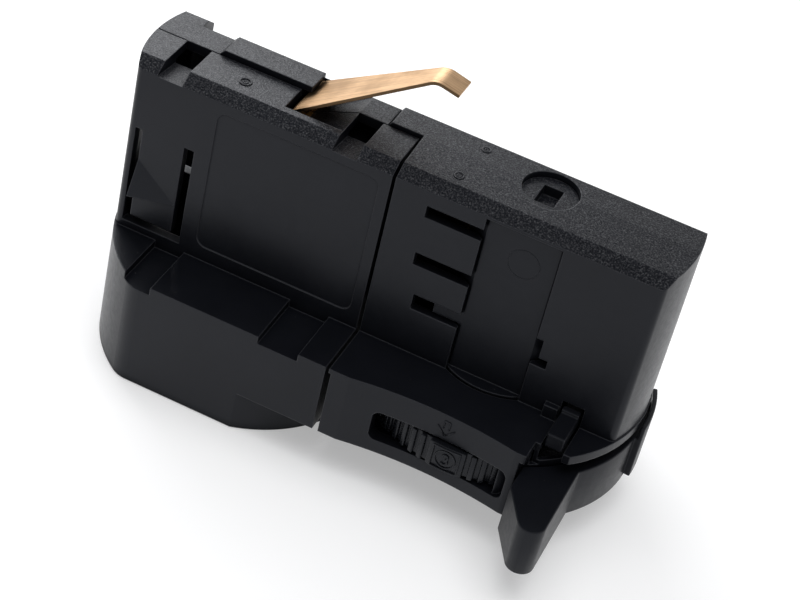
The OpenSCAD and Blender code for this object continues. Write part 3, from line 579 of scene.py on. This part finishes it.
spring = bmesh.new()
spring_rows = []
for at, along in bent_line(STRIP_LINE, STRIP_BENDS):
    across = Vector((-along.y, along.x)) * STRIP_T / 2
    w = half_width(at.x)
    section = ((at + across, -w), (at + across, w), (at - across, w), (at - across, -w))
    spring_rows.append([spring.verts.new(Vector((p.x, y, p.y)) * MM) for p, y in section])
loft(spring, spring_rows)
earth_spring = add_mesh("earth_spring", spring, "earth", COPPER)
round_edges(earth_spring, STRIP_EDGE)
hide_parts("earth_strip")


# floor and surroundings, in metres

FLOOR_GAP = 0.0002
FLOOR_SIZE = 6
FLOOR_PLAIN = (0.8, 0.8, 0.81, 1.0)
FLOOR_SEEN = (0.66, 0.66, 0.665, 1.0)
FLOOR_GLOW = 0.36
ROOM_COLOUR = (0.97, 0.98, 1.0, 1.0)
ROOM_LIGHT = 0.36
WALL_STRENGTH = 1.0
CEILING_STRENGTH = 0.32
CEILING_FROM = 0.12
CEILING_FULL = 0.85


def floor_material():
    """Pale floor that looks white and keeps the object's shadow."""
    material = bpy.data.materials.new("pale_floor")
    t = Tree(material)
    plain = t.node("ShaderNodeBsdfDiffuse", {"Color": FLOOR_PLAIN})
    lit = t.node("ShaderNodeBsdfDiffuse", {"Color": FLOOR_SEEN})
    glow = t.node("ShaderNodeEmission", {"Color": WHITE, "Strength": FLOOR_GLOW})
    seen = t.node("ShaderNodeAddShader")
    t.link(lit.outputs[0], seen, 0)
    t.link(glow.outputs[0], seen, 1)
    out = t.node("ShaderNodeOutputMaterial")
    t.link(t.mix_shader(t.background_ray(), plain.outputs[0], seen.outputs[0]), out, "Surface")
    return material


def studio_world():
    """White surroundings whose ceiling is darker than the walls, as the reflections on the slopes show."""
    world = bpy.data.worlds.new("studio")
    t = Tree(world)
    room = t.node("ShaderNodeBackground", {"Color": ROOM_COLOUR, "Strength": ROOM_LIGHT})
    seen = t.node("ShaderNodeBackground", {"Color": WHITE})
    height = t.split(t.node("ShaderNodeTexCoord").outputs["Generated"])["Z"]
    strength = t.span(height, CEILING_FROM, CEILING_FULL, WALL_STRENGTH, CEILING_STRENGTH)
    t.link(strength, seen, "Strength")
    out = t.node("ShaderNodeOutputWorld")
    t.link(t.mix_shader(t.background_ray(), room.outputs[0], seen.outputs[0]), out, "Surface")
    return world


bpy.ops.mesh.primitive_plane_add(size=FLOOR_SIZE, location=(0, 0, cad_low.z - FLOOR_GAP))
floor = bpy.context.object
floor.name = "floor"
floor.data.materials.append(floor_material())
scene.world = studio_world()


# lamps

def softbox(name, at, target, size, watts):
    lamp = bpy.data.lights.new(name, "AREA")
    lamp.shape = "RECTANGLE"
    lamp.size, lamp.size_y = size
    lamp.energy = watts
    o = bpy.data.objects.new(name, lamp)
    scene.collection.objects.link(o)
    o.location = at
    o.rotation_mode = "QUATERNION"
    o.rotation_quaternion = (Vector(target) - Vector(at)).to_track_quat("-Z", "Y")
    return o


softbox("back_left", at=(-0.13, 0.12, 0.15), target=(-0.03, 0, 0.025), size=(0.16, 0.14), watts=0.32)
overhead = softbox("overhead", at=(0.05, -0.05, 0.8), target=(0, 0, 0), size=(0.7, 0.7), watts=4.6)
overhead.visible_glossy = False


# camera, solved from edges in the photograph

CAMERA_AT = (0.066242, -0.237696, 0.195824)
CAMERA_RIGHT = Vector((0.896990, 0.397987, 0.192391))
CAMERA_DOWN = Vector((0.392720, -0.517665, -0.760128))
CAMERA_FORWARD = Vector((-0.202927, 0.757383, -0.620638))

camera = bpy.data.cameras.new("camera")
camera.sensor_width = 36
camera.lens = 101.66
camera.clip_start = 0.02
camera.clip_end = 20
camera_object = bpy.data.objects.new("camera", camera)
scene.collection.objects.link(camera_object)
scene.camera = camera_object
turn_to = Matrix((CAMERA_RIGHT, -CAMERA_DOWN, -CAMERA_FORWARD)).transposed().to_4x4()
camera_object.matrix_world = Matrix.Translation(CAMERA_AT) @ turn_to
